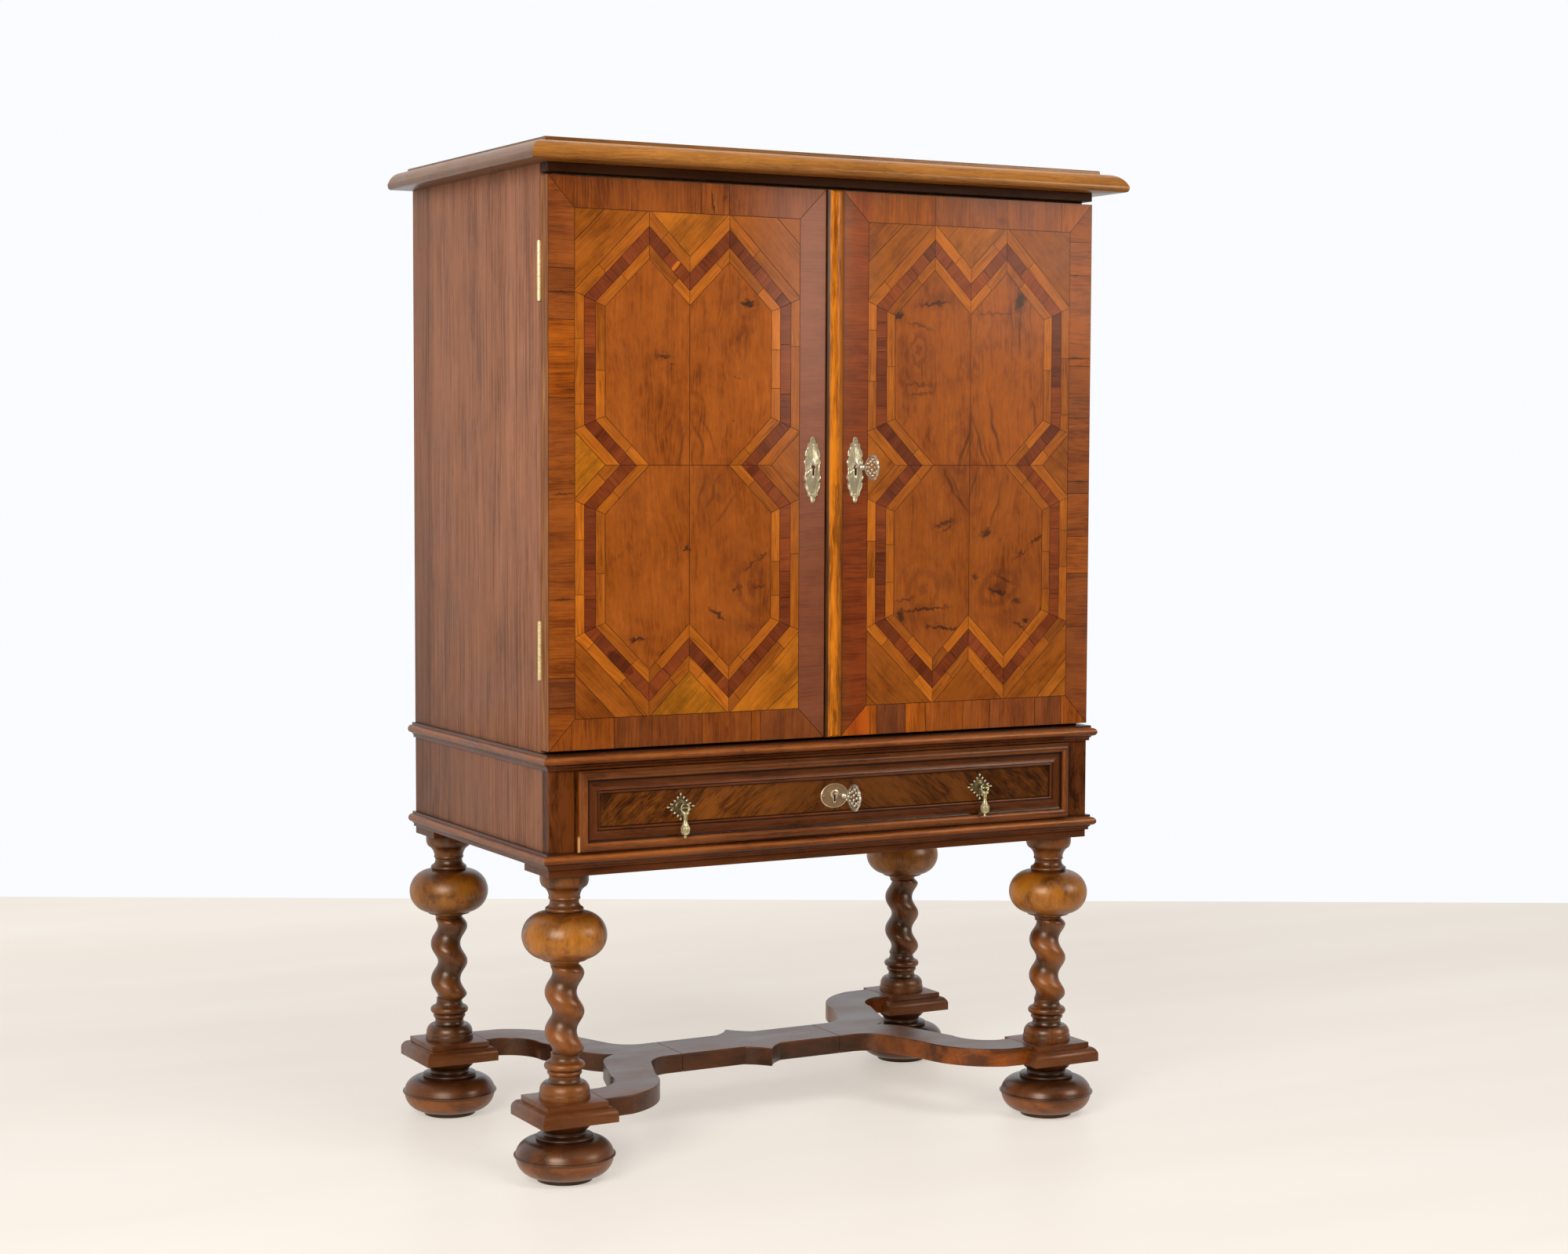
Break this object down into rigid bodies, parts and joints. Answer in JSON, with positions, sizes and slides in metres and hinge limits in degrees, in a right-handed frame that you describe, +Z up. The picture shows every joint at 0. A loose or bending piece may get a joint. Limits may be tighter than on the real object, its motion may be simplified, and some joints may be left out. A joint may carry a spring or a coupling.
{
  "type": "cabinet on stand",
  "caption": "Veneered two-door cabinet over a drawer, on a stand with twist-turned legs and a forked flat stretcher; doors, drawer, keys, bolts and pulls move.",
  "frame": {"origin": "on the floor, under the middle of the whole cabinet's box", "axes": "+X to the right along the front, +Y from the front to the back, +Z up"},
  "size_m": [1.0248, 0.6584, 1.517],
  "materials": {
    "walnut_leg": "glossy shellac polish over dark walnut turnings",
    "walnut_rail": "satin shellac polish on straight-grained walnut",
    "stile_walnut": "satin polish on dark figured walnut",
    "moulding": "polished reddish brown walnut mouldings",
    "cornice": "polished golden brown fruitwood",
    "side_veneer": "satin polish on straight streaked veneer",
    "door_core": "planed oak, waxed",
    "marquetry": "glossy shellac polish on figured veneers in strips",
    "astragal": "polished orange brown fruitwood",
    "drawer_veneer": "glossy polish on dark figured walnut",
    "drawer_moulding": "polished walnut moulding",
    "oak_inside": "plain planed oak, unpolished",
    "stretcher": "polished walnut, worn on top",
    "cast_brass": "aged cast brass, pale and rubbed",
    "hinge_brass": "bright rubbed brass",
    "lock_iron": "dark wrought iron"
  },
  "bodies": {
    "carcase": {"feet": "walnut_leg", "plinth_blocks": "walnut_rail", "leg_front_left": "walnut_leg", "leg_front_right": "walnut_leg", "leg_back_left": "walnut_leg", "leg_back_right": "walnut_leg", "stretcher_bar": "stretcher", "stretcher_fork_right": "stretcher", "stretcher_fork_left": "stretcher", "stand_rails": "walnut_rail", "drawer_case_sides": "side_veneer", "front_stiles": "stile_walnut", "bottom_rail": "stile_walnut", "drawer_case_bottom": "oak_inside", "drawer_case_back": "oak_inside", "drawer_runners": "oak_inside", "waist_board": "side_veneer", "base_moulding_front": "moulding", "base_moulding_returns": "moulding", "waist_moulding_front": "moulding", "waist_moulding_returns": "moulding", "cupboard_side_right": "side_veneer", "cupboard_side_left": "side_veneer", "cupboard_bottom": "oak_inside", "cupboard_top": "oak_inside", "cupboard_back": "oak_inside", "frieze_rail": "moulding", "shelf": "oak_inside", "shelf_battens": "oak_inside", "cornice_front": "cornice", "cornice_returns": "cornice", "cornice_back": "oak_inside", "cap_board": "cornice", "hinge_fixed_leaves": "hinge_brass", "hinge_pins": "hinge_brass"},
    "left_door": {"left_door": "door_core", "left_door_veneer": "marquetry", "left_door_hinge_leaves": "hinge_brass", "left_escutcheon": "cast_brass", "left_door_fittings": "lock_iron"},
    "left_door_bolt": {"left_door_bolt": "lock_iron"},
    "right_door": {"right_door": "door_core", "right_door_veneer": "marquetry", "right_door_hinge_leaves": "hinge_brass", "astragal": "astragal", "right_escutcheon": "cast_brass", "door_lock_case": "lock_iron"},
    "door_lock_bolt": {"door_lock_bolt": "lock_iron"},
    "door_key": {"door_key": "cast_brass"},
    "drawer": {"drawer_front": "drawer_veneer", "drawer_frame_moulding": "drawer_moulding", "drawer_box": "oak_inside", "drawer_bottom": "oak_inside", "drawer_escutcheon": "cast_brass", "drawer_lock_case": "lock_iron", "pull_plates": "cast_brass"},
    "drawer_lock_bolt": {"drawer_lock_bolt": "lock_iron"},
    "drawer_key": {"drawer_key": "cast_brass"},
    "left_pull": {"left_pull": "cast_brass"},
    "right_pull": {"right_pull": "cast_brass"}
  },
  "joints": [
    {"name": "left_door_hinge", "type": "hinge", "parent": "carcase", "child": "left_door", "pos_m": [-0.4712, -0.21325, 1.0565], "axis": [0, 0, -1], "range_deg": [0, 175]},
    {"name": "right_door_hinge", "type": "hinge", "parent": "carcase", "child": "right_door", "pos_m": [0.4712, -0.21325, 1.0565], "axis": [0, 0, 1], "range_deg": [0, 175]},
    {"name": "drawer_slide", "type": "slide", "parent": "carcase", "child": "drawer", "axis": [0, -1, 0], "range_m": [0, 0.38]},
    {"name": "door_key_turn", "type": "hinge", "parent": "right_door", "child": "door_key", "pos_m": [0.037, -0.27125, 1.0487], "axis": [0, -1, 0], "range_deg": [0, 360]},
    {"name": "door_lock_bolt_slide", "type": "slide", "parent": "right_door", "child": "door_lock_bolt", "axis": [-1, 0, 0], "range_m": [0, 0.013]},
    {"name": "left_door_bolt_slide", "type": "slide", "parent": "left_door", "child": "left_door_bolt", "axis": [0, 0, -1], "range_m": [0, 0.012]},
    {"name": "drawer_key_turn", "type": "hinge", "parent": "drawer", "child": "drawer_key", "pos_m": [0, -0.27125, 0.553], "axis": [0, -1, 0], "range_deg": [0, 360]},
    {"name": "drawer_lock_bolt_slide", "type": "slide", "parent": "drawer", "child": "drawer_lock_bolt", "axis": [0, 0, 1], "range_m": [0, 0.009]},
    {"name": "left_pull_swing", "type": "hinge", "parent": "drawer", "child": "left_pull", "pos_m": [-0.262, -0.26525, 0.5485], "axis": [-1, 0, 0], "range_deg": [0, 80]},
    {"name": "right_pull_swing", "type": "hinge", "parent": "drawer", "child": "right_pull", "pos_m": [0.262, -0.26525, 0.5485], "axis": [-1, 0, 0], "range_deg": [0, 80]}
  ],
  "couplings": [
    {"joint": "door_lock_bolt_slide", "follows": "door_key_turn", "m_per_rad": 0.002069},
    {"joint": "drawer_lock_bolt_slide", "follows": "drawer_key_turn", "m_per_rad": 0.0014324}
  ]
}
